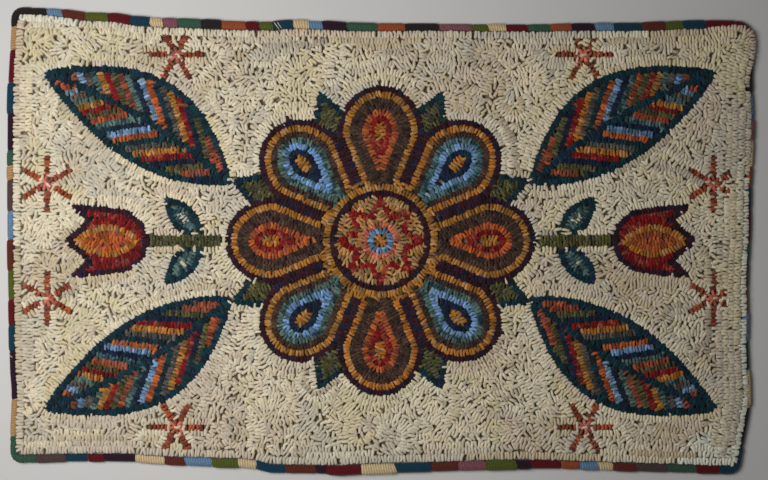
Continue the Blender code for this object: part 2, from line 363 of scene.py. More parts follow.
# Stretches of the noise that show, and what they turn into
STRAY_BAND = (0.52, 0.62, 0.0, 0.85)
TWEED_BAND = (0.44, 0.58)
HEATHER_BAND = (0.32, 0.68)
HEATHER = 1.2
WARM_BLUE = 1.6
COOL_BLUE = 0.8
PLY_BAND = (0.3, 0.7)
PLY_SHADES = (0.78, 1.18)
FLECK_BAND = (0.5, 0.75)
FLECK_SHADE = 1.5
# Painted shade in the yarn's grooves: its strength, and the dark shade of the yarn that it darkens towards
PAINTED_GROOVE_SHARE = 0.75
GROOVE_SHADE = 0.35
# Their finish, and the strength and depth of their relief
WOOL_FINISH = {"Roughness": 0.95, "Specular IOR Level": 0.12, "Sheen Weight": 0.12, "Sheen Roughness": 0.5}
WOOL_RELIEF = (0.5, 0.25 * MM)
YARN_FINISH = {"Roughness": 0.9, "Specular IOR Level": 0.15, "Sheen Weight": 0.3, "Sheen Roughness": 0.45}
YARN_RELIEF = (0.6, 0.2 * MM)
LINEN_FINISH = {"Roughness": 0.9, "Specular IOR Level": 0.2}
LINEN_RELIEF = (0.8, 0.4 * MM)
LINEN_DARK = (0.20, 0.15, 0.09)
LINEN_LIGHT = (0.46, 0.38, 0.26)
# Painted shade on the linen: from this height up to its top, its colour falls from the full value to this
# share
LINEN_SHADE = (0.5 * MM, LINEN_TOP, 1.0, 0.65)
LINEN_SLUBS = 1.2
SLUB_DETAIL = 3.0

# Camera, light and floor
PHOTO_WIDTH = 768
MM_PER_PIXEL = 1.12
FOCAL_LENGTH = 45.0
SENSOR_WIDTH = 36.0
VIEW_LEVEL = 3.7 * MM
VIEW_CENTRE = (3.9 * MM, 0.9 * MM)
LIGHT_PLACE = (-0.45, 0.05, 0.78)
LIGHT_POWER = 7.0
LIGHT_SIZE = 0.5
ROOM_LIGHT = 0.09
FLOOR_HALF = 4.0
FLOOR_SQUARES = 8
FLOOR_LEVEL = -0.05 * MM
FLOOR_GRAIN = 3
FLOOR_DETAIL = 2
FLOOR_ROUGHNESS = 0.8
FLOOR_DARK = (0.60, 0.59, 0.57)
FLOOR_LIGHT = (0.66, 0.65, 0.63)


def linear(colour):
    """A screen colour as scene light values."""
    values = []
    for channel in colour:
        c = channel / 255
        values.append(c / 12.92 if c <= 0.04045 else ((c + 0.055) / 1.055) ** 2.4)
    return tuple(values)


def colour_property(label, colour):
    """A colour that the user can change."""
    return FloatVectorProperty(name=label.replace("_", " ").title(),
                               description=f"Colour of the {label} wool", subtype="COLOR", size=3,
                               min=0.0, max=1.0, default=linear(colour))


def length_property(name, description, default):
    """A short length that the user can change."""
    return FloatProperty(name=name, description=description, default=default, unit="LENGTH", precision=4)


def angle_property(name, description, default):
    """An angle that the user can change."""
    return FloatProperty(name=name, description=description, default=default, subtype="ANGLE")


class RugSizes(bpy.types.PropertyGroup):
    """Sizes of the hooking and the whipping"""

    loop_pitch: length_property("Loop Pitch", "Distance between loops along a row", LOOP_PITCH)
    height_spread: length_property("Height Spread", "How unevenly the loops are pulled up", HEIGHT_SPREAD)
    turn_spread: angle_property("Turn Spread", "How far a loop turns out of its row", TURN_SPREAD)
    tilt_spread: angle_property("Tilt Spread", "How far a loop leans", TILT_SPREAD)
    whip_pitch: length_property("Whip Pitch", "Distance between turns of the edge yarn", WHIP_PITCH)
    whip_rib: FloatProperty(name="Whip Rib", description="How far each turn stands out of the edge",
                            default=WHIP_RIB, subtype="FACTOR")
    whip_lean: length_property("Whip Lean", "How far each turn slants across the edge", WHIP_LEAN)
    seed: IntProperty(name="Seed", description="Seed for the uneven handwork", default=HAND_SEED)


class RugWools(bpy.types.PropertyGroup):
    """Colours of the hooked wools"""

    __annotations__ = {name: colour_property(name, colour)
                       for name, colour in {**GROUND_WOOLS, **DESIGN_WOOLS}.items()}


class RugYarns(bpy.types.PropertyGroup):
    """Colours of the edge yarns"""

    __annotations__ = {name: colour_property(name, colour) for name, colour in WHIP_YARNS.items()}


# The frame's surfaces

def surface_of(node):
    """A CAD node's surface, for rays."""
    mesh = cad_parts[node].data
    triangles = [tuple(face.vertices) for face in mesh.polygons]
    return BVHTree.FromPolygons([vertex.co.copy() for vertex in mesh.vertices], triangles)


def top_of(tree, x, y):
    """The highest place of a surface over a point, or None."""
    return tree.ray_cast(Vector((x, y, 1.0)), DOWN)[0]


def smooth_ring(points, step):
    """A smooth closed line through the points, with a point every step."""
    count = len(points)
    fine = []
    for k in range(count):
        a, b, c, d = (Vector(points[(k + n) % count]) for n in (-1, 0, 1, 2))
        span = (c - b).length
        leave = (c - a) * span / ((b - a).length + span)
        arrive = (d - b) * span / ((d - c).length + span)
        parts = max(1, round(span / (step / 2)))
        for n in range(parts):
            t = n / parts
            fine.append((2 * t ** 3 - 3 * t ** 2 + 1) * b + (t ** 3 - 2 * t ** 2 + t) * leave
                        + (3 * t ** 2 - 2 * t ** 3) * c + (t ** 3 - t ** 2) * arrive)
    fine.append(fine[0])
    length = sum((b - a).length for a, b in zip(fine, fine[1:]))
    return respace([(p.x, p.y) for p in fine], length / round(length / step))[:-1]


def respace(line, step):
    """Points every step along a line."""
    points = [line[0]]
    left = step
    for a, b in zip(line, line[1:]):
        span = math.dist(a, b)
        while span > 0 and left <= span + SLACK:
            share = left / span
            a = (a[0] + (b[0] - a[0]) * share, a[1] + (b[1] - a[1]) * share)
            points.append(a)
            span = math.dist(a, b)
            left = step
        left -= span
    return points


def outward(ring, k):
    """Direction away from the middle, square to the ring at point k."""
    before = ring[k - 1]
    after = ring[(k + 1) % len(ring)]
    run = math.dist(before, after)
    return ((before[1] - after[1]) / run, (after[0] - before[0]) / run)


def field_ring():
    """Outline of the hooked field, clockwise from the back left corner."""
    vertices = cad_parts["hooked_field"].data.vertices
    feet = {(round(v.co.x, 6), round(v.co.y, 6)) for v in vertices if v.co.z < FLAT}
    ordered = sorted(feet, key=lambda p: -math.atan2(p[1], p[0]))
    start = min(range(len(ordered)), key=lambda k: ordered[k][0] - ordered[k][1])
    return smooth_ring(ordered[start:] + ordered[:start], EDGE_STEP)


def side_share(direction):
    """How much a direction faces each side of the rug."""
    x, y = direction
    return {"back": max(0.0, y) ** 2, "right": max(0.0, x) ** 2,
            "front": max(0.0, -y) ** 2, "left": max(0.0, -x) ** 2}


def side_value(values, direction):
    """A value given for each side, blended round the corners."""
    shares = side_share(direction)
    return sum(values[side] * shares[side] for side in SIDES)


class RugFrame:
    """What the pieces need to know of the CAD solids."""

    def __init__(self):
        self.ring = field_ring()
        self.out = [outward(self.ring, k) for k in range(len(self.ring))]
        self.corners = [max(range(len(self.ring)), key=lambda k: sx * self.ring[k][0] + sy * self.ring[k][1])
                        for sx, sy in CORNERS]
        self.field = surface_of("hooked_field")
        edges = [surface_of("whipped_edge_" + side) for side in SIDES]
        self.edge_size = []
        last = USUAL_EDGE
        for (x, y), (ox, oy) in zip(self.ring, self.out):
            last = self.measure_edge(edges, x, y, ox, oy) or last
            self.edge_size.append(last)

    def measure_edge(self, edges, x, y, ox, oy):
        """Width and height of the whipped edge beside one point of the field's outline."""
        widest = 0.0
        start = Vector((x + ox * EDGE_REACH, y + oy * EDGE_REACH, EDGE_LEVEL))
        for tree in edges:
            hit = tree.ray_cast(start, Vector((-ox, -oy, 0)), EDGE_REACH)[0]
            if hit is not None:
                widest = max(widest, (hit.x - x) * ox + (hit.y - y) * oy)
        if widest < LEAST_EDGE:
            return None
        middle = (widest + EDGE_GAP) / 2
        tops = [top_of(tree, x + ox * middle, y + oy * middle) for tree in edges]
        highest = max((top.z for top in tops if top is not None), default=0.0)
        return (widest - EDGE_GAP, highest) if highest else None

    def pile_top(self, x, y):
        """Height of the pile over a point."""
        top = top_of(self.field, x, y) or self.field.find_nearest(Vector((x, y, ABOVE_PILE)))[0]
        return max(LOWEST_TOP, top.z)

    def inset_ring(self, row):
        """Centre line of a border row: row 0 lies at the edge or over it, the others inside it."""
        line = []
        for (x, y), out in zip(self.ring, self.out):
            away = math.dist((x, y), self.ring[self.corners[1]])
            more = CORNER_OVERHANG * max(0.0, 1 - (away / CORNER_REACH) ** 2)
            depth = STRIP_WIDTH / 2 - side_value(OVERHANG, out) - more + row * ROW
            line.append((x - out[0] * depth, y - out[1] * depth))
        return line


def run_of(points, k):
    """Step from the point before one to the point after it, and its length."""
    before = points[max(0, k - 1)]
    after = points[min(len(points) - 1, k + 1)]
    return after[0] - before[0], after[1] - before[1], math.dist(before, after)


# Planning the rows

def unbroken(points, keep, shortest):
    """The runs of neighbouring points that pass a test, where they are longer than the shortest."""
    run = []
    for point in [*points, None]:
        if point is not None and keep(point):
            run.append(point)
            continue
        if len(run) > shortest:
            yield run
        run = []


def swirl(x, y):
    """Direction in which the ground is hooked at a point, away from motifs."""
    angle = SWIRL_TURNS * math.pi * noise.noise(Vector((x, y, SWIRL_PLACE)) / SWIRL_SIZE)
    angle += RIPPLE * noise.noise(Vector((y, x, RIPPLE_PLACE)) / RIPPLE_SIZE)
    return math.cos(angle), math.sin(angle)


class RowPlan:
    """The rows of hooking laid so far, in cells for finding the nearest ones."""

    def __init__(self):
        self.cells = {}
        self.rows = []
        self.motifs = []
        self.random = random.Random(PLAN_SEED)

    def claim(self, polygon):
        """Keep the ground out of a motif; returns the test of what lies inside it."""
        test = within(polygon)
        self.motifs.append((box_of(polygon), test))
        return test

    def claimed(self, x, y):
        """Whether a point lies in any motif."""
        for (low, high), test in self.motifs:
            if low[0] < x < high[0] and low[1] < y < high[1] and test(x, y):
                return True
        return False

    def nearest(self, x, y, reach, guides_only=False):
        """The nearest hooked point within reach, as (distance, point), or None."""
        i = int(x // FOLLOW_REACH)
        j = int(y // FOLLOW_REACH)
        best = reach * reach
        found = None
        for a in (i - 1, i, i + 1):
            for b in (j - 1, j, j + 1):
                for point in self.cells.get((a, b), ()):
                    dx = x - point[0]
                    dy = y - point[1]
                    away = dx * dx + dy * dy
                    if away < best and (point[4] or not guides_only):
                        best = away
                        found = point
        return (math.sqrt(best), found) if found else None

    def add(self, motif, wool, points, guide):
        """Lay one row."""
        row = len(self.rows)
        self.rows.append((motif, wool, points))
        for k, (x, y) in enumerate(points):
            dx, dy, run = run_of(points, k)
            ahead = (dx / run, dy / run) if run else swirl(x, y)
            cell = (int(x // FOLLOW_REACH), int(y // FOLLOW_REACH))
            self.cells.setdefault(cell, []).append((x, y, *ahead, guide, row))

    def hook_line(self, motif, wool, line, closed=False, room=ROOM, guide=True):
        """Hook a drawn line, left out where earlier rows are in the way."""
        last = None
        if closed:
            line = [*line, line[0]]
            length = sum(math.dist(a, b) for a, b in zip(line, line[1:]))
            last = max(1, round((length - LOOP_PITCH) / ROW_STEP)) + 1
        points = respace(line, ROW_STEP)[:last]
        for run in unbroken(points, lambda point: not self.nearest(*point, room), SHORTEST_ROW):
            self.add(motif, wool, run, guide)

    def heading(self, x, y, follow):
        """The hooked point that a new row follows, if one is near, and the way that the row takes."""
        near = self.nearest(x, y, FOLLOW_REACH, not follow)
        return near, (near[1][2:4] if near else swirl(x, y))

    def steer(self, x, y, dx, dy, follow):
        """Next direction of a growing row."""
        near, (gx, gy) = self.heading(x, y, follow)
        if gx * dx + gy * dy < 0:
            gx, gy = -gx, -gy
        if near:
            away, point = near
            push = (ROW - away) / ROW * ROW_PUSH
            gx += (x - point[0]) / away * push
            gy += (y - point[1]) / away * push
        turn = math.atan2(dx * gy - dy * gx, dx * gx + dy * gy)
        turn = max(-MAX_TURN, min(MAX_TURN, turn))
        c, s = math.cos(turn), math.sin(turn)
        return dx * c - dy * s, dx * s + dy * c

    def grow(self, x, y, follow, room, inside=None):
        """A new row both ways from a free point."""
        _, (dx, dy) = self.heading(x, y, follow)
        own = [(x, y)]
        halves = []
        limit = int(LONGEST_GROWN / ROW_STEP)
        skip = int(OWN_REACH / ROW_STEP)
        for way in (1, -1):
            px, py, hx, hy = x, y, way * dx, way * dy
            half = []
            while len(own) < limit:
                hx, hy = self.steer(px, py, hx, hy, follow)
                px += hx * ROW_STEP
                py += hy * ROW_STEP
                if inside and not inside(px, py):
                    break
                if self.nearest(px, py, room):
                    break
                older = own[:-skip] if way == 1 else own[skip:-skip]
                if any((px - a) ** 2 + (py - b) ** 2 < room * room for a, b in older):
                    break
                half.append((px, py))
                own.append((px, py))
            halves.append(half)
        return halves[1][::-1] + [(x, y)] + halves[0]

    def spread(self, sources, inside):
        """Fill the ground outward from rows that are already laid, one row beside another."""
        queue = list(sources)
        while queue:
            points = queue.pop(0)
            for k in range(0, len(points), 2):
                x, y = points[k]
                tx, ty, run = run_of(points, k)
                if not run:
                    continue
                tx, ty = tx / run, ty / run
                for way in (ROW, -ROW):
                    sx, sy = x - ty * way, y + tx * way
                    if self.nearest(sx, sy, START_ROOM) or not inside(sx, sy):
                        continue
                    row = self.grow(sx, sy, self.random.random() < FOLLOW_CHANCE, ROOM)
                    if len(row) > SHORTEST_ROW:
                        self.add("ground", "ground", row, False)
                        queue.append(row)

    def fill_gaps(self, motif, wool_at, polygon, room, inside, follow=True):
        """Short rows wherever a loop still fits."""
        low, high = box_of(polygon)
        wide = int((high[0] - low[0]) / GAP_STEP)
        deep = int((high[1] - low[1]) / GAP_STEP)
        places = [(low[0] + i * GAP_STEP, low[1] + j * GAP_STEP)
                  for i in range(wide) for j in range(deep)]
        self.random.shuffle(places)
        for x, y in places:
            if self.nearest(x, y, room) or not inside(x, y):
                continue
            row = self.grow(x, y, follow, room, inside)
            if len(row) == 1:
                near = self.nearest(x, y, FOLLOW_REACH)
                tx, ty = near[1][2:4] if near else (1.0, 0.0)
                row = [(x, y), (x + tx * LONE_LOOP, y + ty * LONE_LOOP)]
            self.add(motif, wool_at(row), row, False)


def within(polygon):
    """A test of whether a point lies inside a polygon."""
    edges = list(zip(polygon, [*polygon[1:], polygon[0]]))

    def test(x, y):
        inside = False
        for (ax, ay), (bx, by) in edges:
            if (ay > y) != (by > y) and x < (bx - ax) * (y - ay) / (by - ay) + ax:
                inside = not inside
        return inside
    return test


def box_of(polygon):
    """Lowest and highest corner of a polygon."""
    xs = [x for x, _ in polygon]
    ys = [y for _, y in polygon]
    return (min(xs), min(ys)), (max(xs), max(ys))


def place(points, turn, x=0.0, y=0.0):
    """Points drawn along +X, turned and moved to their place."""
    c, s = math.cos(turn), math.sin(turn)
    return [(x + u * c - v * s, y + u * s + v * c) for u, v in points]


def around(radii):
    """Points at equal angles about the middle, each as far away as its radius says."""
    angles = [math.tau * k / len(radii) for k in range(len(radii))]
    return [(radius * math.cos(angle), radius * math.sin(angle)) for radius, angle in zip(radii, angles)]


def circle(radius):
    """A ring about the middle."""
    return around([radius] * RING_STEPS)


def petal_line(inset):
    """One row of a petal that grows along +X: up one side, round the tip and down the other."""
    half_angle = math.pi / PETALS
    tip = PETAL_TIP - inset
    side_inset = PETAL_GAP + inset / math.cos(half_angle)
    full = PETAL_SHOULDER * math.tan(half_angle) - side_inset
    if full < NARROWEST:
        return [(PETAL_BASE + inset, 0.0), (tip, 0.0)]
    side = []
    start = max(PETAL_BASE, (side_inset + NARROWEST) / math.tan(half_angle))
    for k in range(CURVE_STEPS):
        u = start + (PETAL_SHOULDER - start) * k / CURVE_STEPS
        side.append((u, u * math.tan(half_angle) - side_inset))
    for k in range(CURVE_STEPS + 1):
        angle = math.pi / 2 * k / CURVE_STEPS
        side.append((PETAL_SHOULDER + (tip - PETAL_SHOULDER) * math.sin(angle), full * math.cos(angle)))
    return side + [(u, -v) for u, v in reversed(side[:-1])]


def bow(u, length, bend):
    """How far a bent leaf lies to the side at a place along it."""
    return bend * math.sin(math.pi * min(1.0, max(0.0, u / length)))


def leaf_line(length, half, bend, inset):
    """One closed row of a leaf that grows along +X."""
    share = max(0.0, 1 - inset / half)
    start = inset * LEAF_POINT
    run = length - 2 * start
    lean, full = LEAF_SHAPE
    side = []
    for k in range(LEAF_STEPS + 1):
        t = k / LEAF_STEPS
        side.append((start + run * t, half * share * math.sin(math.pi * t ** lean) ** full))
    under = [(u, -v) for u, v in reversed(side[1:-1])]
    return [(u, v + bow(u, length, bend)) for u, v in side + under]


def plan_flower(plan):
    """A round flower: rings and a star in its disc, petals in rows of wool, sepals between them."""
    for radius, wool in FLOWER_RINGS:
        plan.hook_line("flower", wool, circle(radius), closed=True)
    plan.hook_line("flower", "red", around([STAR_TIP, STAR_NOTCH] * STAR_POINTS), closed=True)
    disc = plan.claim(circle(DISC_EDGE))
    plan.fill_gaps("flower", lambda row: "camel", circle(DISC_EDGE), LEAST_ROOM, disc)
    for k in range(PETALS):
        turn = math.tau * k / PETALS
        plan.claim(place(petal_line(0.0), turn))
        for n, wool in enumerate(PETAL_ROWS[k % 2]):
            plan.hook_line("flower", wool, place(petal_line(n * ROW), turn))
    sepal = [(SEPAL_START, 0.0), (SEPAL_WIDEST, SEPAL_HALF), (SEPAL_TIP, 0.0), (SEPAL_WIDEST, -SEPAL_HALF)]
    heart = [(SEPAL_START + SEPAL_HEART[0], 0.0), (SEPAL_TIP - SEPAL_HEART[1], 0.0)]
    for k in range(PETALS):
        turn = math.tau * (k + 0.5) / PETALS
        outline = place(sepal, turn)
        in_sepal = plan.claim(outline)
        plan.hook_line("flower", "dark_teal", outline, closed=True)
        plan.hook_line("flower", "olive_tweed", place(heart, turn), room=TIGHT_ROOM)
        plan.fill_gaps("flower", lambda row: "olive_tweed", outline, LEAST_ROOM, in_sepal)
    plan.claim(circle(PETAL_SHOULDER))
    whole = circle(PETAL_TIP)
    inside = within(whole)
    wide = PETAL_SHARE * math.pi / PETALS

    def in_petal(x, y):
        angle = (math.atan2(y, x) + math.pi / PETALS) % (math.tau / PETALS) - math.pi / PETALS
        return inside(x, y) and (math.hypot(x, y) < PETAL_SHOULDER or abs(angle) < wide)
    plan.fill_gaps("flower", lambda row: nearest_wool(plan, row), whole, LEAST_ROOM, in_petal)


def nearest_wool(plan, row):
    """The wool of the row that lies nearest to a new one."""
    near = plan.nearest(*row[len(row) // 2], FOLLOW_REACH)
    return plan.rows[near[1][5]][1] if near else "camel"


def plan_leaf(plan, side_x, side_y):
    """A large leaf with a midrib and slanting bands of colour."""
    def put(points):
        return [(side_x * x, side_y * y) for x, y in place(points, LEAF_TURN, *LEAF_BASE)]

    def lift(u):
        return bow(u, LEAF_LENGTH, LEAF_BEND)
    outline = put(leaf_line(LEAF_LENGTH, LEAF_HALF, LEAF_BEND, 0.0))
    plan.hook_line("leaves", "dark_teal", outline, closed=True)
    first, short, step = RIB
    rib = [(u * MM, lift(u * MM)) for u in range(first, int(LEAF_LENGTH / MM) - short, step)]
    plan.hook_line("leaves", "dark_teal", put(rib))
    spacing = ROW / math.sin(VEIN_LEAN)
    count = int(LEAF_LENGTH / spacing)
    inside = plan.claim(outline)
    for n in range(FIRST_VEIN, count):
        wool = VEIN_WOOLS[n % len(VEIN_WOOLS)]
        for way in (1, -1):
            vein = []
            for k in range(VEIN_STEPS):
                along = k * VEIN_STEP
                u = n * spacing + ROW + along * math.cos(VEIN_LEAN)
                v = along * math.sin(VEIN_LEAN) * (1 - VEIN_CURVE * k)
                if 0 < u < LEAF_LENGTH:
                    vein.append((u, lift(u) + way * v))
            vein = [point for point in put(vein) if inside(*point)]
            if len(vein) > 1:
                plan.hook_line("leaves", wool, vein, room=VEIN_ROOM)
    plan.fill_gaps("leaves", lambda row: nearest_wool(plan, row), outline, LEAST_ROOM, inside)


def plan_bud(plan, side_x):
    """A bud on a stem with two small leaves."""
    outline = [*BUD_OUTLINE, *((u, -v) for u, v in BUD_OUTLINE[-2:0:-1])]
    outline = [(side_x * (BUD_BASE + u), v) for u, v in outline]
    plan.hook_line("buds", "plum", outline, closed=True)
    heart = leaf_line(BUD_HEART_END - BUD_HEART_START, BUD_HEART_HALF, 0.0, 0.0)
    heart = [(side_x * (BUD_BASE + BUD_HEART_START + u), v) for u, v in heart]
    plan.hook_line("buds", "gold", heart, closed=True)
    inside = plan.claim(outline)
    in_heart = within(heart)

    def wool(row):
        return "orange" if in_heart(*row[len(row) // 2]) else "red"
    plan.fill_gaps("buds", wool, outline, LEAST_ROOM, inside)
    for lane in (-0.5, 0.5):
        plan.hook_line("buds", "olive_tweed", [(side_x * STEM_START, lane * ROW),
                                              (side_x * (BUD_BASE - STEM_TUCK), lane * ROW)])
    for way in (1, -1):
        for inset, name in ((0.0, "dark_teal"), (ROW, "teal_grey")):
            line = leaf_line(STEM_LEAF_LENGTH, STEM_LEAF_HALF, 0.0, inset)
            line = place(line, STEM_LEAF_TURN, STEM_LEAF_PLACE, STEM_LEAF_SIDE)
            plan.hook_line("buds", name, [(side_x * x, way * y) for x, y in line], closed=not inset)


def plan_aster(plan, x, y, turn, side_x, side_y):
    """A small aster: a ring of loops for its heart, and thin rays."""
    x, y = side_x * x, side_y * y
    plan.hook_line("asters", "salmon", [(x + u, y + v) for u, v in circle(ASTER_HEART)], closed=True)
    for k in range(ASTER_RAYS):
        angle = math.radians(turn) + math.tau * k / ASTER_RAYS
        ray = place([(ASTER_RAY_START, 0.0), (ASTER_RAY_END, 0.0)], angle)
        plan.hook_line("asters", "rust", [(x + side_x * u, y + side_y * v) for u, v in ray])


def border_rows(direction):
    """How many rows lie along the side that a direction faces most."""
    shares = side_share(direction)
    return BORDER_ROWS[max(shares, key=shares.get)]


def plan_border(plan, rug):
    """Rows along the edge: one all round, and more on some sides."""
    plan.hook_line("ground", "border", rug.inset_ring(0), closed=True, guide=False)
    rows_at = [border_rows(out) for out in rug.out]
    for row in range(1, max(rows_at)):
        spots = zip(rug.inset_ring(row), rows_at)
        for run in unbroken(spots, lambda spot: row < spot[1], SHORTEST_BORDER):
            plan.hook_line("ground", "border", [point for point, _ in run])


def ground_wool(row, chooser):
    """The ground wool of one strip: mottled patches, pale places, one of them a painted highlight along the
    right edge, and a stray strip of ash.
    """
    x, y = row[len(row) // 2]
    # Pale patches; the one along the right edge is a painted highlight
    for px, py, rx, ry in PALE_PATCHES:
        if ((x - px) / rx) ** 2 + ((y - py) / ry) ** 2 < chooser.uniform(*PATCH_EDGE):
            return "bleached"
    if chooser.random() < ASH_CHANCE:
        return "ash"
    tone, warmth = (noise.noise(Vector((x, y, level)) / size) + STRAY * (chooser.random() - 0.5)
                    for size, level in (TONE_PATCH, WARMTH_PATCH))
    if tone > LIGHT_TONE:
        return "butter" if warmth > GOLDEN_WARMTH else "cream"
    if warmth > PINK_WARMTH:
        return "blush"
    if warmth < COOL_WARMTH:
        return "stone"
    if tone < DARK_TONE:
        return "oatmeal"
    return "cream" if chooser.random() < CREAM_SHARE else "ecru"


def split_strips(points, chooser):
    """A long row as the strips of wool it takes."""
    strips = []
    start = 0
    while start < len(points):
        count = int(chooser.uniform(*STRIP_RUN) / ROW_STEP)
        if len(points) - start - count < SHORTEST_STRIP:
            count = len(points) - start
        strips.append(points[start:start + count])
        start += count + STRIP_BREAK
    return [strip for strip in strips if len(strip) > 1]


def plan_rug(rug):
    """Every row of the rug, as {motif: {wool: [rows]}}."""
    plan = RowPlan()
    plan_border(plan, rug)
    plan_flower(plan)
    for side_x in (1, -1):
        plan_bud(plan, side_x)
        for side_y in (1, -1):
            plan_leaf(plan, side_x, side_y)
            for x, y, turn in ASTERS:
                plan_aster(plan, x, y, turn, side_x, side_y)
    sources = [points for _, _, points in plan.rows]
    inner = rug.inset_ring(1)[::BORDER_SKIP]
    on_rug = within(inner)

    def inside(x, y):
        return not plan.claimed(x, y) and on_rug(x, y)
    plan.spread(sources, inside)
    for room in (ROOM, TIGHT_ROOM, LEAST_ROOM, SQUEEZED_ROOM):
        plan.fill_gaps("ground", lambda row: "ground", inner, room, inside, follow=False)
    sorted_rows = {}
    for motif, wool, points in plan.rows:
        strips = split_strips(points, plan.random) if motif == "ground" else [points]
        for strip in strips:
            name = ground_wool(strip, plan.random) if motif == "ground" else wool
            sorted_rows.setdefault(motif, {}).setdefault(name, []).append(strip)
    return sorted_rows


# Materials

def fill_inputs(tree, node, inputs):
    """Join sockets to a node's inputs, and set plain values on them."""
    for name, value in inputs.items():
        if isinstance(value, bpy.types.NodeSocket):
            tree.links.new(value, node.inputs[name])
        else:
            node.inputs[name].default_value = value


def add_node(tree, kind, inputs=None, **settings):
    """A new node with its settings and its inputs."""
    node = tree.nodes.new(kind)
    for name, value in settings.items():
        setattr(node, name, value)
    fill_inputs(tree, node, inputs or {})
    return node


def new_material(name):
    """A new material with its tree and its shader."""
    material = bpy.data.materials.new(name)
    material.use_nodes = True
    return material, material.node_tree, material.node_tree.nodes["Principled BSDF"]


def mix_colours(tree, share, low, high):
    """Blend two colours, each a socket or a plain colour."""
    ends = [end if isinstance(end, bpy.types.NodeSocket) else (*end, 1.0) for end in (low, high)]
    return add_node(tree, "ShaderNodeMix", {0: share, 6: ends[0], 7: ends[1]}, data_type="RGBA").outputs[2]


def place_in_piece(tree):
    """Object coordinates."""
    return tree.nodes.new("ShaderNodeTexCoord").outputs["Object"]


def grain(tree, scale, detail):
    """Noise on Object coordinates, scale in waves a metre."""
    return add_node(tree, "ShaderNodeTexNoise", {
        "Scale": scale, "Detail": detail, "Roughness": NOISE_ROUGHNESS, "Vector": place_in_piece(tree),
    }).outputs["Fac"]


def ramp(tree, value, low, high, least=0.0, most=1.0):
    """Stretch a value so that low becomes the least and high the most."""
    return add_node(tree, "ShaderNodeMapRange", {
        "Value": value, "From Min": low, "From Max": high, "To Min": least, "To Max": most,
    }).outputs["Result"]


def multiplied(tree, vector, factor):
    """A vector or a colour multiplied by a value."""
    return add_node(tree, "ShaderNodeVectorMath", {0: vector, "Scale": factor}, operation="SCALE").outputs[0]


def calculate(tree, operation, first, second):
    """One sum on two values, each a socket or a number."""
    return add_node(tree, "ShaderNodeMath", {0: first, 1: second}, operation=operation).outputs[0]


def kept_shade(tree, name):
    """A value that the loops or the yarn carry on their points."""
    return add_node(tree, "ShaderNodeAttribute", attribute_name=name).outputs["Fac"]


def tinted(colour, factors):
    """A colour with each channel multiplied."""
    return tuple(channel * factor for channel, factor in zip(colour, factors))


def scaled(colour, factor):
    """A lighter or darker shade."""
    return tuple(min(1.0, channel * factor) for channel in colour)


def finish_cloth(tree, shader, colour, height, finish, relief):
    """Give a shader its colour, its finish and the relief of its threads."""
    strength, distance = relief
    bump = add_node(tree, "ShaderNodeBump", {"Strength": strength, "Distance": distance, "Height": height})
    fill_inputs(tree, shader, {"Base Color": colour, "Normal": bump.outputs["Normal"], **finish})


def wool_material(name, colour, companion, spread, warmth, tweed):
    """Woven wool cut in strips: a shade for each loop and strip, heathered fibres, a soft sheen."""
    material, tree, shader = new_material("wool_" + name)
    warm = tinted(colour, (1 + warmth, 1.0, 1 - WARM_BLUE * warmth))
    cool = tinted(colour, (1 - warmth, 1.0, 1 + COOL_BLUE * warmth))
    body = mix_colours(tree, kept_shade(tree, "strip"), cool, warm)
    share = ramp(tree, grain(tree, STRAY_GRAIN, PLAIN), *STRAY_BAND)
    body = mix_colours(tree, share, body, companion)
    if tweed:
        share = ramp(tree, grain(tree, TWEED_GRAIN, PLAIN), *TWEED_BAND)
        body = mix_colours(tree, share, body, tinted(colour, TWEED_FLECK))
    fibres = grain(tree, WOOL_GRAIN, FINE)
    brightness = ramp(tree, kept_shade(tree, "shade"), 0.0, 1.0, 1 - spread, 1 + spread)
    heather = ramp(tree, fibres, *HEATHER_BAND, 1 - HEATHER * spread, 1 + HEATHER * spread)
    cloth = multiplied(tree, multiplied(tree, body, brightness), heather)
    finish_cloth(tree, shader, cloth, fibres, WOOL_FINISH, WOOL_RELIEF)
    return material


def yarn_material(name, colour):
    """Plied wool yarn wound over the edge, with painted shade in the grooves between its turns."""
    material, tree, shader = new_material("yarn_" + name)
    fibres = grain(tree, YARN_GRAIN, FINE)
    shade = ramp(tree, grain(tree, PLY_GRAIN, PLAIN), *PLY_BAND)
    body = mix_colours(tree, shade, *(scaled(colour, factor) for factor in PLY_SHADES))
    lit = mix_colours(tree, ramp(tree, fibres, *FLECK_BAND), body, scaled(colour, FLECK_SHADE))
    # Painted shade: the rings between the turns are darkened towards a dark shade of the yarn.
    depth = calculate(tree, "MULTIPLY", kept_shade(tree, "groove"), PAINTED_GROOVE_SHARE)
    yarn = mix_colours(tree, depth, lit, scaled(colour, GROOVE_SHADE))
    finish_cloth(tree, shader, yarn, fibres, YARN_FINISH, YARN_RELIEF)
    return material


def linen_material():
    """Plain weave linen: crossing threads with slubs, darker on top, where the loops shade it."""
    material, tree, shader = new_material("linen_weave")
    place_at = place_in_piece(tree)
    threads = [add_node(tree, "ShaderNodeTexWave", {
        "Scale": LINEN_GRAIN, "Distortion": LINEN_SLUBS, "Detail Scale": SLUB_DETAIL, "Vector": place_at,
    }, bands_direction=direction).outputs["Fac"] for direction in ("X", "Y")]
    weave = calculate(tree, "MAXIMUM", *threads)
    cloth = mix_colours(tree, weave, LINEN_DARK, LINEN_LIGHT)
    # Painted shade: the linen darkens towards its top, where the loops would shade it.
    height = add_node(tree, "ShaderNodeSeparateXYZ", {0: place_at}).outputs["Z"]
    linen_painted_shade = ramp(tree, height, *LINEN_SHADE)
    finish_cloth(tree, shader, multiplied(tree, cloth, linen_painted_shade), weave, LINEN_FINISH, LINEN_RELIEF)
    return material


# Node trees

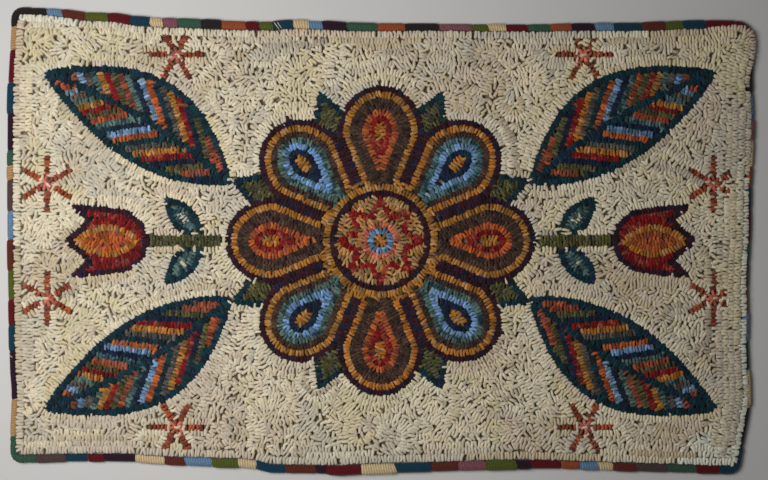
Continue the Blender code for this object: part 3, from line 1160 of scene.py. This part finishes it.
def new_tree(name, inputs):
    """A geometry node tree with named inputs, with what it is given and its output."""
    tree = bpy.data.node_groups.new(name, "GeometryNodeTree")
    tree.interface.new_socket("Geometry", in_out="INPUT", socket_type="NodeSocketGeometry")
    for label, kind, value in inputs:
        socket = tree.interface.new_socket(label, in_out="INPUT", socket_type="NodeSocket" + kind)
        if value is not None:
            socket.default_value = value
    tree.interface.new_socket("Geometry", in_out="OUTPUT", socket_type="NodeSocketGeometry")
    return tree, tree.nodes.new("NodeGroupInput").outputs, tree.nodes.new("NodeGroupOutput")


def finish_tree(tree, geometry, material, result):
    """Make the instances real, give them their material and hand them out."""
    real = add_node(tree, "GeometryNodeRealizeInstances", {"Geometry": geometry})
    painted = add_node(tree, "GeometryNodeSetMaterial", {
        "Geometry": real.outputs["Geometry"], "Material": material})
    tree.links.new(painted.outputs["Geometry"], result.inputs["Geometry"])


def random_value(tree, kind, low, high, seed, offset):
    """A random value with a fixed seed; low and high may be sockets."""
    first, second, output = {"FLOAT_VECTOR": (0, 1, 0), "FLOAT": (2, 3, 1), "INT": (4, 5, 2)}[kind]
    return add_node(tree, "FunctionNodeRandomValue", {
        first: low, second: high, "Seed": calculate(tree, "ADD", seed, offset),
    }, data_type=kind).outputs[output]


def either_way(tree, most, seed, offset):
    """A random value up to the most, with either sign."""
    least = calculate(tree, "MULTIPLY", most, -1.0)
    return random_value(tree, "FLOAT", least, most, seed, offset)


def store(tree, geometry, name, value, kind="FLOAT"):
    """Keep a value on each point under a name."""
    return add_node(tree, "GeometryNodeStoreNamedAttribute", {
        "Geometry": geometry, "Name": name, "Value": value,
    }, data_type=kind, domain="POINT").outputs["Geometry"]


def stored(tree, name, kind="FLOAT"):
    """A value kept under a name."""
    node = add_node(tree, "GeometryNodeInputNamedAttribute", {"Name": name}, data_type=kind)
    return node.outputs["Attribute"]


def vector_of(tree, x, y, z):
    """A vector from three values, each a socket or a number."""
    return add_node(tree, "ShaderNodeCombineXYZ", {0: x, 1: y, 2: z}).outputs[0]


def hooking_tree():
    """Loops along each row: spaced, turned, tilted and pulled up a little unevenly."""
    tree, given, result = new_tree("hook_loops", (
        ("Pitch", "Float", LOOP_PITCH),
        ("Height Spread", "Float", HEIGHT_SPREAD),
        ("Turn Spread", "Float", TURN_SPREAD),
        ("Tilt Spread", "Float", TILT_SPREAD),
        ("Seed", "Int", HAND_SEED),
        ("Loops", "Collection", None),
        ("Wool", "Material", None),
    ))
    seed = given["Seed"]
    keep = add_node(tree, "GeometryNodeCaptureAttribute", domain="CURVE")
    keep.capture_items.new("FLOAT", "Strip")
    fill_inputs(tree, keep, {"Geometry": given["Geometry"],
                             "Strip": random_value(tree, "FLOAT", 0.0, 1.0, seed, 1)})
    spaced = add_node(tree, "GeometryNodeCurveToPoints", {
        "Curve": keep.outputs["Geometry"], "Length": given["Pitch"]}, mode="LENGTH")
    points = store(tree, spaced.outputs["Points"], "strip", keep.outputs["Strip"])
    points = store(tree, points, "shade", random_value(tree, "FLOAT", 0.0, 1.0, seed, 2))
    rise = either_way(tree, given["Height Spread"], seed, 3)
    side_x = either_way(tree, SIDE_SPREAD, seed, 4)
    side_y = either_way(tree, SIDE_SPREAD, seed, 5)
    shift = add_node(tree, "GeometryNodeSetPosition", {
        "Geometry": points, "Offset": vector_of(tree, side_x, side_y, rise)})

    along = add_node(tree, "FunctionNodeAlignRotationToVector", {
        "Vector": spaced.outputs["Tangent"]}, axis="X", pivot_axis="Z")
    yaw = either_way(tree, given["Turn Spread"], seed, 6)
    half_turn = calculate(tree, "MULTIPLY", random_value(tree, "INT", 0, 1, seed, 7), math.pi)
    lean = either_way(tree, given["Tilt Spread"], seed, 8)
    nod = either_way(tree, given["Tilt Spread"], seed, 9)
    jitter = add_node(tree, "FunctionNodeEulerToRotation", {
        0: vector_of(tree, nod, lean, calculate(tree, "ADD", yaw, half_turn))})
    turned = add_node(tree, "FunctionNodeRotateRotation", {
        "Rotation": along.outputs["Rotation"], "Rotate By": jitter.outputs[0]}, rotation_space="LOCAL")

    shapes = add_node(tree, "GeometryNodeCollectionInfo", {
        "Collection": given["Loops"], "Separate Children": True, "Reset Children": True})
    hook = add_node(tree, "GeometryNodeInstanceOnPoints", {
        "Points": shift.outputs["Geometry"],
        "Instance": shapes.outputs["Instances"],
        "Pick Instance": True,
        "Instance Index": random_value(tree, "INT", 0, len(LOOP_SHAPES) - 1, seed, 10),
        "Rotation": turned.outputs[0],
        "Scale": random_value(tree, "FLOAT_VECTOR", *SIZE_SPREAD, seed, 11),
    })
    finish_tree(tree, hook.outputs["Instances"], given["Wool"], result)
    return tree


def whipping_tree():
    """Yarn wound round the edge: an oval section that swells at each turn and slants across."""
    tree, given, result = new_tree("whip_edge", (
        ("Pitch", "Float", WHIP_PITCH),
        ("Rib", "Float", WHIP_RIB),
        ("Lean", "Float", WHIP_LEAN),
        ("Flatness", "Float", WHIP_FLATNESS),
        ("Yarn", "Material", None),
    ))
    spaced = add_node(tree, "GeometryNodeResampleCurve", {
        "Curve": given["Geometry"], "Length": calculate(tree, "DIVIDE", given["Pitch"], 2.0)}, mode="LENGTH")
    order = tree.nodes.new("GeometryNodeSplineParameter").outputs["Index"]
    odd = calculate(tree, "MODULO", order, 2.0)
    swell = calculate(tree, "SUBTRACT", 1.0, calculate(tree, "MULTIPLY", odd, given["Rib"]))
    radius = tree.nodes.new("GeometryNodeInputRadius").outputs[0]
    upright = add_node(tree, "GeometryNodeSetCurveNormal", {"Curve": spaced.outputs["Curve"]}, mode="Z_UP")
    tangent = tree.nodes.new("GeometryNodeInputTangent").outputs[0]
    path = store(tree, upright.outputs["Curve"], "ahead", tangent, "FLOAT_VECTOR")
    # The rings between turns are marked, for the painted shade in their grooves
    path = store(tree, path, "groove", odd)

    ring = add_node(tree, "GeometryNodeCurvePrimitiveCircle", {"Resolution": WHIP_SECTION, "Radius": 1.0})
    spot = tree.nodes.new("GeometryNodeInputPosition").outputs[0]
    spot = add_node(tree, "ShaderNodeSeparateXYZ", {0: spot})
    up = calculate(tree, "MULTIPLY", spot.outputs["Y"], given["Flatness"])
    up = calculate(tree, "MAXIMUM", up, calculate(tree, "MULTIPLY", given["Flatness"], WHIP_UNDERSIDE))
    oval = add_node(tree, "GeometryNodeSetPosition", {
        "Geometry": ring.outputs["Curve"], "Position": vector_of(tree, spot.outputs["X"], up, 0.0)})
    section = store(tree, oval.outputs["Geometry"], "across", spot.outputs["X"])
    swept = add_node(tree, "GeometryNodeCurveToMesh", {
        "Curve": path, "Profile Curve": section, "Fill Caps": True,
        "Scale": calculate(tree, "MULTIPLY", radius, swell)})

    slide = calculate(tree, "MULTIPLY", stored(tree, "across"), given["Lean"])
    slanted = add_node(tree, "GeometryNodeSetPosition", {
        "Geometry": swept.outputs["Mesh"],
        "Offset": multiplied(tree, stored(tree, "ahead", "FLOAT_VECTOR"), slide)})
    finish_tree(tree, slanted.outputs["Geometry"], given["Yarn"], result)
    return tree


# Loop shapes

LOOP_SHAPES = (
    # name, width, drop of the end, sideways bend at five places along the strip
    ("loop_straight", 1.00, 0.55 * MM, (0.0, 0.0, 0.0, 0.0, 0.0)),
    ("loop_bowed", 1.00, 0.60 * MM, (-0.75 * MM, -0.55 * MM, 0.60 * MM, -0.55 * MM, -0.75 * MM)),
    ("loop_waved", 0.96, 0.50 * MM, (0.90 * MM, 0.70 * MM, 0.0, -0.70 * MM, -0.90 * MM)),
    ("loop_kinked", 1.04, 0.70 * MM, (-0.80 * MM, -0.60 * MM, -0.45 * MM, 0.75 * MM, 1.05 * MM)),
    ("loop_flat", 1.18, 0.35 * MM, (0.15 * MM, 0.10 * MM, -0.15 * MM, 0.0, 0.10 * MM)),
    ("loop_narrow", 0.86, 0.80 * MM, (0.10 * MM, 0.05 * MM, 0.30 * MM, 0.05 * MM, 0.10 * MM)),
)
LOOP_SECTION = (
    # across the loop, down from its top
    (-1.56 * MM, LOOP_DEPTH),
    (-1.72 * MM, 1.25 * MM),
    (-0.96 * MM, 0.08 * MM),
    (0.96 * MM, 0.08 * MM),
    (1.72 * MM, 1.25 * MM),
    (1.56 * MM, LOOP_DEPTH),
)
LOOP_STATIONS = (-1.0, -0.80, 0.0, 0.80, 1.0)
LOOP_END_WIDTH = 0.72
LOOP_CREASE = math.radians(62)


def mesh_data(mesh, name):
    """Turn a shape's faces outwards and keep it as a mesh."""
    bmesh.ops.recalc_face_normals(mesh, faces=mesh.faces[:])
    data = bpy.data.meshes.new(name)
    mesh.to_mesh(data)
    mesh.free()
    return data


def add_object(name, data):
    """A new object in the scene."""
    thing = bpy.data.objects.new(name, data)
    bpy.context.scene.collection.objects.link(thing)
    return thing


def loop_mesh(name, width, end_drop, bends):
    """One loop: a strip of wool arched over, its cut edges at both ends a little rounded."""
    mesh = bmesh.new()
    sections = []
    for share, bend in zip(LOOP_STATIONS, bends):
        at_end = abs(share) == 1.0
        narrow = LOOP_END_WIDTH if at_end else 1.0
        drop = end_drop if at_end else 0.0
        section = []
        for across, down in LOOP_SECTION:
            z = -down if down == LOOP_DEPTH else -down - drop
            section.append(mesh.verts.new((across * width * narrow + bend, share * STRIP_WIDTH / 2, z)))
        sections.append(section)
    for a, b in zip(sections, sections[1:]):
        for k in range(len(LOOP_SECTION) - 1):
            mesh.faces.new((a[k], a[k + 1], b[k + 1], b[k]))
    foot = [section[0] for section in sections] + [section[-1] for section in reversed(sections)]
    mesh.faces.new(foot)
    mesh.faces.new(sections[0])
    mesh.faces.new(sections[-1])
    data = mesh_data(mesh, name)
    data.shade_smooth()
    data.set_sharp_from_angle(angle=LOOP_CREASE)
    return data


def loop_collection():
    """The loop shapes that the node tree picks from."""
    collection = bpy.data.collections.new("loop_shapes")
    for shape in LOOP_SHAPES:
        collection.objects.link(bpy.data.objects.new(shape[0], loop_mesh(*shape)))
    return collection


# Pieces

class Workshop:
    """What the operators share: the frame's measures, the plan of rows and the node trees."""

    rug = None
    rows = None
    hooking = None
    whipping = None
    loops = None
    pieces = []


def prepare():
    """Measure the frame, plan the rows and build the trees once."""
    if Workshop.rug is None:
        Workshop.rug = RugFrame()
        Workshop.rows = plan_rug(Workshop.rug)
        Workshop.hooking = hooking_tree()
        Workshop.whipping = whipping_tree()
        Workshop.loops = loop_collection()


def path_object(name, lines):
    """A curve object with one straight-edged spline for each line of (x, y, z, radius)."""
    data = bpy.data.curves.new(name, "CURVE")
    data.dimensions = "3D"
    for line in lines:
        spline = data.splines.new("POLY")
        spline.points.add(len(line) - 1)
        for target, (x, y, z, radius) in zip(spline.points, line):
            target.co = (x, y, z, 1)
            target.radius = radius
    return bpy.data.objects.new(name, data)


def run_tree(guide, tree, values, name):
    """Run a node tree on a guide and keep the result as a plain mesh object."""
    bpy.context.scene.collection.objects.link(guide)
    modifier = guide.modifiers.new("nodes", "NODES")
    modifier.node_group = tree
    sockets = {item.name: item.identifier for item in tree.interface.items_tree
               if item.item_type == "SOCKET" and item.in_out == "INPUT"}
    for label, value in values.items():
        modifier[sockets[label]] = value
    bpy.context.view_layer.update()
    evaluated = guide.evaluated_get(bpy.context.evaluated_depsgraph_get())
    data = bpy.data.meshes.new_from_object(evaluated)
    if not data.polygons:
        raise RuntimeError(f"The node tree made nothing of {name}")
    data.name = name
    guide.modifiers.remove(modifier)
    bpy.data.objects.remove(guide, do_unlink=True)
    return add_object(name, data)


def enlist(piece, slot, *nodes):
    """Tie a finished piece to the frame."""
    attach(piece, "root")
    if nodes:
        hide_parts(*nodes)
    Workshop.pieces.append(piece)


def hook_motif(context, motif):
    """Hook every wool of one motif, a piece for each."""
    prepare()
    rug = Workshop.rug
    sizes = context.scene.rug_sizes
    wools = context.scene.rug_wools
    for number, (wool, rows) in enumerate(sorted(Workshop.rows[motif].items())):
        name = f"{motif}_{wool}"
        lines = [[(x, y, rug.pile_top(x, y), 1.0) for x, y in row] for row in rows]
        spread, warmth = GROUND_VARIETY if wool in GROUND_WOOLS else DESIGN_VARIETY
        colour = tuple(getattr(wools, wool))
        companion = tuple(getattr(wools, COMPANIONS.get(wool, wool)))
        piece = run_tree(path_object(name, lines), Workshop.hooking, {
            "Pitch": sizes.loop_pitch,
            "Height Spread": sizes.height_spread,
            "Turn Spread": sizes.turn_spread,
            "Tilt Spread": sizes.tilt_spread,
            "Seed": sizes.seed + WOOL_SEED_STEP * number,
            "Loops": Workshop.loops,
            "Wool": wool_material(name, colour, companion, spread, warmth, wool in TWEEDS),
        }, name)
        enlist(piece, "wool_pile", "hooked_field")
    return {"FINISHED"}


class RUG_OT_hook_ground(bpy.types.Operator):
    """Hook the cream ground and the rows along the edge"""

    bl_idname = "rug.hook_ground"
    bl_label = "Hook Ground"

    def execute(self, context):
        return hook_motif(context, "ground")


class RUG_OT_hook_flower(bpy.types.Operator):
    """Hook the flower in the middle"""

    bl_idname = "rug.hook_flower"
    bl_label = "Hook Flower"

    def execute(self, context):
        return hook_motif(context, "flower")


class RUG_OT_hook_leaves(bpy.types.Operator):
    """Hook the four large leaves"""

    bl_idname = "rug.hook_leaves"
    bl_label = "Hook Leaves"

    def execute(self, context):
        return hook_motif(context, "leaves")


class RUG_OT_hook_buds(bpy.types.Operator):
    """Hook the two buds and their stems"""

    bl_idname = "rug.hook_buds"
    bl_label = "Hook Buds"

    def execute(self, context):
        return hook_motif(context, "buds")


class RUG_OT_hook_asters(bpy.types.Operator):
    """Hook the small asters"""

    bl_idname = "rug.hook_asters"
    bl_label = "Hook Asters"

    def execute(self, context):
        return hook_motif(context, "asters")


def whip_lines(rug):
    """The runs of each yarn along the edge, as {yarn: (lines, sides)}."""
    starts = []
    reached = rug.corners[0]
    for n, side in enumerate(SIDES):
        count = (rug.corners[(n + 1) % len(SIDES)] - rug.corners[n]) % len(rug.ring)
        total = sum(length for _, length in WHIP_RUNS[side])
        done = 0
        for yarn, length in WHIP_RUNS[side]:
            starts.append((reached + (done / total * count or CORNER_STEPS), yarn, side))
            done += length
        reached += count
    starts.append((starts[0][0] + len(rug.ring), "", ""))
    courses = {}
    chooser = random.Random(PLAN_SEED)
    for (first, yarn, side), (last, _, _) in zip(starts, starts[1:]):
        lines, sides = courses.setdefault(yarn, ([], set()))
        lines.append(edge_stretch(rug, first, last, 1 + chooser.uniform(-WHIP_UNEVEN, WHIP_UNEVEN)))
        sides.add(side)
    return courses


def edge_spot(rug, mark, fullness):
    """Middle of the whipped edge at a place along the ring, with its half width."""
    low = math.floor(mark)
    part = mark - low
    spots = []
    for k in (low % len(rug.ring), (low + 1) % len(rug.ring)):
        width, height = rug.edge_size[k]
        swell = fullness * side_value(WHIP_FULLNESS, rug.out[k])
        half = width / 2 * swell
        level = max(height / 2, WHIP_FLATNESS * width / 2) * swell
        x, y = (a + b * (EDGE_GAP + half) for a, b in zip(rug.ring[k], rug.out[k]))
        spots.append((x, y, level, half))
    return tuple(a + (b - a) * part for a, b in zip(*spots))


def edge_stretch(rug, first, last, fullness):
    """The whipped edge's middle line from one place to another, parted a hair from the next run."""
    gap = RUN_GAP / EDGE_STEP
    marks = [first + gap, *range(math.floor(first) + 1, math.ceil(last)), last - gap]
    marks = [mark for n, mark in enumerate(marks) if n == 0 or mark - marks[n - 1] > gap]
    spots = []
    for mark in marks:
        from_end = min(mark - first, last - mark) * EDGE_STEP
        narrow = RUN_NARROW * max(0.0, 1 - from_end / RUN_END) ** 2
        spots.append(edge_spot(rug, mark, fullness * (1 - narrow)))
    return spots


class RUG_OT_whip_edge(bpy.types.Operator):
    """Whip the edge with runs of yarn, a piece for each colour"""

    bl_idname = "rug.whip_edge"
    bl_label = "Whip Edge"

    def execute(self, context):
        prepare()
        sizes = context.scene.rug_sizes
        for yarn, (lines, sides) in sorted(whip_lines(Workshop.rug).items()):
            name = "whipping_" + yarn
            piece = run_tree(path_object(name, lines), Workshop.whipping, {
                "Pitch": sizes.whip_pitch,
                "Rib": sizes.whip_rib,
                "Lean": sizes.whip_lean,
                "Yarn": yarn_material(yarn, tuple(getattr(context.scene.rug_yarns, yarn))),
            }, name)
            piece.data.shade_smooth()
            piece.data.set_sharp_from_angle(angle=WHIP_CREASE)
            enlist(piece, "whipping_yarn", *("whipped_edge_" + side for side in sorted(sides)))
        return {"FINISHED"}


def whipping_surface():
    """The surface of all the whipping, for rays."""
    vertices = []
    triangles = []
    for piece in Workshop.pieces:
        if piece.name.startswith("whipping_"):
            first = len(vertices)
            vertices += [vertex.co.copy() for vertex in piece.data.vertices]
            triangles += [tuple(first + k for k in face.vertices) for face in piece.data.polygons]
    return BVHTree.FromPolygons(vertices, triangles)


def loose_mesh(name, thickness, start, end, edge):
    """A short end of yarn lying over the edge, with rounded ends."""
    mesh = bmesh.new()
    start, end = Vector(start), Vector(end)
    along = (end - start).normalized()
    beside = Vector((-along.y, along.x, 0.0))
    angles = [math.tau * n / LOOSE_SIDES for n in range(LOOSE_SIDES)]
    rings = []
    for k in range(LOOSE_STEPS + 1):
        spot = start.lerp(end, k / LOOSE_STEPS)
        top = top_of(edge, spot.x, spot.y)
        if top is None:
            raise RuntimeError(f"{name} lies beside the whipped edge, not on it")
        spot.z = top.z + thickness * LOOSE_SINK
        radius = thickness / 2 * (LOOSE_END if k in (0, LOOSE_STEPS) else 1.0)
        rings.append([mesh.verts.new(spot + radius * (math.cos(angle) * beside + math.sin(angle) * UP))
                      for angle in angles])
    for a, b in zip(rings, rings[1:]):
        for n in range(LOOSE_SIDES):
            mesh.faces.new((a[n - 1], a[n], b[n], b[n - 1]))
    mesh.faces.new(rings[0])
    mesh.faces.new(rings[-1])
    data = mesh_data(mesh, name)
    data.shade_smooth()
    return data


class RUG_OT_drop_yarn(bpy.types.Operator):
    """Drop the loose bits of yarn on the whipped edge"""

    bl_idname = "rug.drop_yarn"
    bl_label = "Drop Yarn"

    def execute(self, context):
        edge = whipping_surface()
        for n, (yarn, thickness, start, end) in enumerate(LOOSE_YARNS):
            name = f"loose_yarn_{n + 1}"
            data = loose_mesh(name, thickness, (*start, 0.0), (*end, 0.0), edge)
            data.materials.append(bpy.data.materials["yarn_" + yarn])
            enlist(add_object(name, data), "whipping_yarn")
        return {"FINISHED"}


class RUG_OT_lay_linen(bpy.types.Operator):
    """Lay the linen foundation under the loops"""

    bl_idname = "rug.lay_linen"
    bl_label = "Lay Linen"

    def execute(self, context):
        prepare()
        mesh = bmesh.new()
        low, high = ([mesh.verts.new((x, y, level)) for x, y in Workshop.rug.ring]
                     for level in (LINEN_UNDER, LINEN_TOP))
        mesh.faces.new(low)
        mesh.faces.new(high)
        for k in range(len(low)):
            mesh.faces.new((low[k - 1], low[k], high[k], high[k - 1]))
        data = mesh_data(mesh, "linen_foundation")
        data.materials.append(linen_material())
        linen = add_object("linen_foundation", data)
        worked_in = list(Workshop.pieces)
        enlist(linen, "linen_backing", "hooked_field")
        return {"FINISHED"}


class RUG_OT_set_stage(bpy.types.Operator):
    """Set the floor, the light and the camera"""

    bl_idname = "rug.set_stage"
    bl_label = "Set Stage"

    def execute(self, context):
        self.lay_floor()
        self.hang_light(context.scene)
        self.place_camera(context.scene)
        context.scene.view_settings.view_transform = "Standard"
        return {"FINISHED"}

    def lay_floor(self):
        """A pale painted floor just under the rug."""
        mesh = bmesh.new()
        bmesh.ops.create_grid(mesh, x_segments=FLOOR_SQUARES, y_segments=FLOOR_SQUARES, size=FLOOR_HALF)
        data = bpy.data.meshes.new("floor")
        mesh.to_mesh(data)
        mesh.free()
        material, tree, shader = new_material("floor_paint")
        cloud = grain(tree, FLOOR_GRAIN, FLOOR_DETAIL)
        fill_inputs(tree, shader, {"Base Color": mix_colours(tree, cloud, FLOOR_DARK, FLOOR_LIGHT),
                                   "Roughness": FLOOR_ROUGHNESS})
        data.materials.append(material)
        floor = add_object("floor", data)
        floor.location.z = FLOOR_LEVEL

    def hang_light(self, scene):
        """A large soft light that faces the rug, and a little light from all round."""
        data = bpy.data.lights.new("key_light", "AREA")
        data.energy = LIGHT_POWER
        data.size = LIGHT_SIZE
        light = add_object("key_light", data)
        light.location = LIGHT_PLACE
        light.rotation_euler = Vector(LIGHT_PLACE).to_track_quat("Z", "Y").to_euler()
        scene.world = bpy.data.worlds.new("studio")
        scene.world.use_nodes = True
        background = scene.world.node_tree.nodes["Background"]
        background.inputs["Color"].default_value = (1.0, 1.0, 1.0, 1.0)
        background.inputs["Strength"].default_value = ROOM_LIGHT

    def place_camera(self, scene):
        """A camera straight above, as far away as the photograph's frame needs."""
        camera = bpy.data.cameras.new("camera")
        camera.lens = FOCAL_LENGTH
        camera.sensor_width = SENSOR_WIDTH
        distance = FOCAL_LENGTH / SENSOR_WIDTH * (PHOTO_WIDTH * MM_PER_PIXEL * MM)
        scene.camera = add_object("camera", camera)
        scene.camera.location = (*VIEW_CENTRE, VIEW_LEVEL + distance)


class RUG_PT_panel(bpy.types.Panel):
    """Steps for hooking the rug"""

    bl_label = "Hooked Rug"
    bl_idname = "RUG_PT_panel"
    bl_space_type = "VIEW_3D"
    bl_region_type = "UI"
    bl_category = "Hooked Rug"

    def draw(self, context):
        for operator in OPERATORS:
            self.layout.operator(operator.bl_idname)
        for group in (context.scene.rug_sizes, context.scene.rug_wools, context.scene.rug_yarns):
            box = self.layout.box()
            for name in group.__annotations__:
                box.prop(group, name)


# The steps, in the order in which the rug is made
OPERATORS = (
    RUG_OT_hook_ground, RUG_OT_hook_flower, RUG_OT_hook_leaves, RUG_OT_hook_buds, RUG_OT_hook_asters,
    RUG_OT_whip_edge, RUG_OT_drop_yarn, RUG_OT_lay_linen, RUG_OT_set_stage,
)
CLASSES = (RugSizes, RugWools, RugYarns, *OPERATORS, RUG_PT_panel)


def register():
    """Add the classes and the scene's settings."""
    for item in CLASSES:
        bpy.utils.register_class(item)
    bpy.types.Scene.rug_sizes = PointerProperty(type=RugSizes)
    bpy.types.Scene.rug_wools = PointerProperty(type=RugWools)
    bpy.types.Scene.rug_yarns = PointerProperty(type=RugYarns)


def unregister():
    """Take the settings and the classes away again."""
    del bpy.types.Scene.rug_sizes
    del bpy.types.Scene.rug_wools
    del bpy.types.Scene.rug_yarns
    for item in reversed(CLASSES):
        bpy.utils.unregister_class(item)


def main():
    """Hook the rug and set the stage."""
    register()
    bpy.ops.rug.hook_ground()
    bpy.ops.rug.hook_flower()
    bpy.ops.rug.hook_leaves()
    bpy.ops.rug.hook_buds()
    bpy.ops.rug.hook_asters()
    bpy.ops.rug.whip_edge()
    bpy.ops.rug.drop_yarn()
    bpy.ops.rug.lay_linen()
    bpy.ops.rug.set_stage()


if __name__ == "__main__":
    main()
